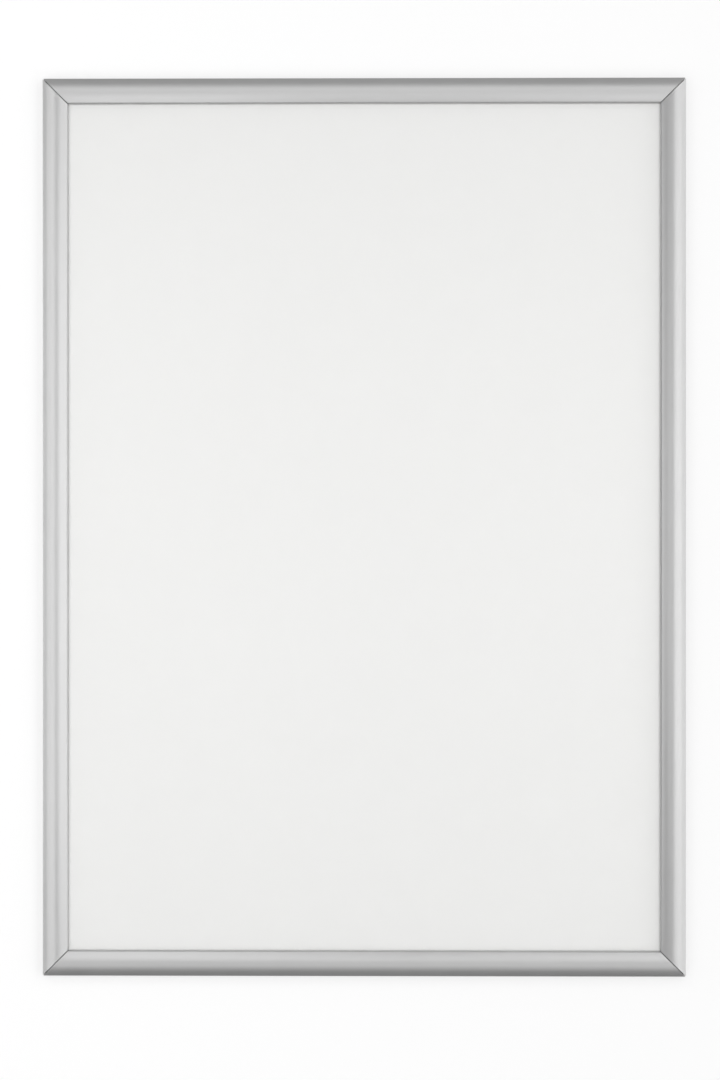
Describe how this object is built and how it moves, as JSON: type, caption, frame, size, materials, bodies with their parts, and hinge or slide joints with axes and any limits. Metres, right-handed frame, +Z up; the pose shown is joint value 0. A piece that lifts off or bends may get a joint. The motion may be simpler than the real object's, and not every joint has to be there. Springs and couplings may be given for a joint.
{
  "type": "snap poster frame",
  "caption": "Portrait wall poster frame with four mitred, convex aluminium snap rails that hinge outwards over a clear cover sheet and a white back panel.",
  "frame": {"origin": "on the wall plane, at the centre of the four wall holes", "axes": "+X to the right and +Z up as the frame hangs, -Y out of the wall towards the viewer"},
  "size_m": [0.624, 0.012, 0.871],
  "materials": {
    "snap_rail_aluminium": "silver anodised, satin, with fine lines along the rail",
    "base_rail_aluminium": "silver anodised, satin",
    "corner_key_steel": "zinc plated",
    "screw_steel": "zinc plated",
    "spring_steel": "blued spring steel",
    "panel_white": "white polystyrene sheet",
    "cover_clear": "clear sheet with a matt anti-glare face"
  },
  "bodies": {
    "frame": {"base_rail_bottom": "base_rail_aluminium", "base_rail_right": "base_rail_aluminium", "base_rail_top": "base_rail_aluminium", "base_rail_left": "base_rail_aluminium", "corner_key_bottom_right": "corner_key_steel", "corner_key_top_right": "corner_key_steel", "corner_key_top_left": "corner_key_steel", "corner_key_bottom_left": "corner_key_steel", "corner_screws_bottom_right": "screw_steel", "corner_screws_top_right": "screw_steel", "corner_screws_top_left": "screw_steel", "corner_screws_bottom_left": "screw_steel", "back_panel": "panel_white", "cover_sheet": "cover_clear"},
    "snap_bottom": {"snap_rail_bottom": "snap_rail_aluminium"},
    "snap_right": {"snap_rail_right": "snap_rail_aluminium"},
    "snap_top": {"snap_rail_top": "snap_rail_aluminium"},
    "snap_left": {"snap_rail_left": "snap_rail_aluminium"},
    "springs_bottom": {"leaf_spring_bottom_1": "spring_steel", "leaf_spring_bottom_2": "spring_steel"},
    "springs_right": {"leaf_spring_right_1": "spring_steel", "leaf_spring_right_2": "spring_steel", "leaf_spring_right_3": "spring_steel"},
    "springs_top": {"leaf_spring_top_1": "spring_steel", "leaf_spring_top_2": "spring_steel"},
    "springs_left": {"leaf_spring_left_1": "spring_steel", "leaf_spring_left_2": "spring_steel", "leaf_spring_left_3": "spring_steel"}
  },
  "joints": [
    {"name": "snap_bottom_hinge", "type": "hinge", "parent": "frame", "child": "snap_bottom", "pos_m": [0, -0.00532, -0.43377], "axis": [1, 0, 0], "range_deg": [0, 90]},
    {"name": "snap_right_hinge", "type": "hinge", "parent": "frame", "child": "snap_right", "pos_m": [0.31027, -0.00532, 0], "axis": [0, 0, 1], "range_deg": [0, 90]},
    {"name": "snap_top_hinge", "type": "hinge", "parent": "frame", "child": "snap_top", "pos_m": [0, -0.00532, 0.43377], "axis": [-1, 0, 0], "range_deg": [0, 90]},
    {"name": "snap_left_hinge", "type": "hinge", "parent": "frame", "child": "snap_left", "pos_m": [-0.31027, -0.00532, 0], "axis": [0, 0, -1], "range_deg": [0, 90]},
    {"name": "springs_bottom_swing", "type": "hinge", "parent": "frame", "child": "springs_bottom", "pos_m": [0, -0.0052, -0.422], "axis": [1, 0, 0], "range_deg": [-31, 0], "deforming": ["leaf_spring_bottom_1", "leaf_spring_bottom_2"]},
    {"name": "springs_right_swing", "type": "hinge", "parent": "frame", "child": "springs_right", "pos_m": [0.2985, -0.0052, 0], "axis": [0, 0, 1], "range_deg": [-31, 0], "deforming": ["leaf_spring_right_1", "leaf_spring_right_2", "leaf_spring_right_3"]},
    {"name": "springs_top_swing", "type": "hinge", "parent": "frame", "child": "springs_top", "pos_m": [0, -0.0052, 0.422], "axis": [-1, 0, 0], "range_deg": [-31, 0], "deforming": ["leaf_spring_top_1", "leaf_spring_top_2"]},
    {"name": "springs_left_swing", "type": "hinge", "parent": "frame", "child": "springs_left", "pos_m": [-0.2985, -0.0052, 0], "axis": [0, 0, -1], "range_deg": [-31, 0], "deforming": ["leaf_spring_left_1", "leaf_spring_left_2", "leaf_spring_left_3"]}
  ],
  "couplings": [
    {"joint": "springs_bottom_swing", "follows": "snap_bottom_hinge", "ratio": -0.3429},
    {"joint": "springs_right_swing", "follows": "snap_right_hinge", "ratio": -0.3429},
    {"joint": "springs_top_swing", "follows": "snap_top_hinge", "ratio": -0.3429},
    {"joint": "springs_left_swing", "follows": "snap_left_hinge", "ratio": -0.3429}
  ]
}
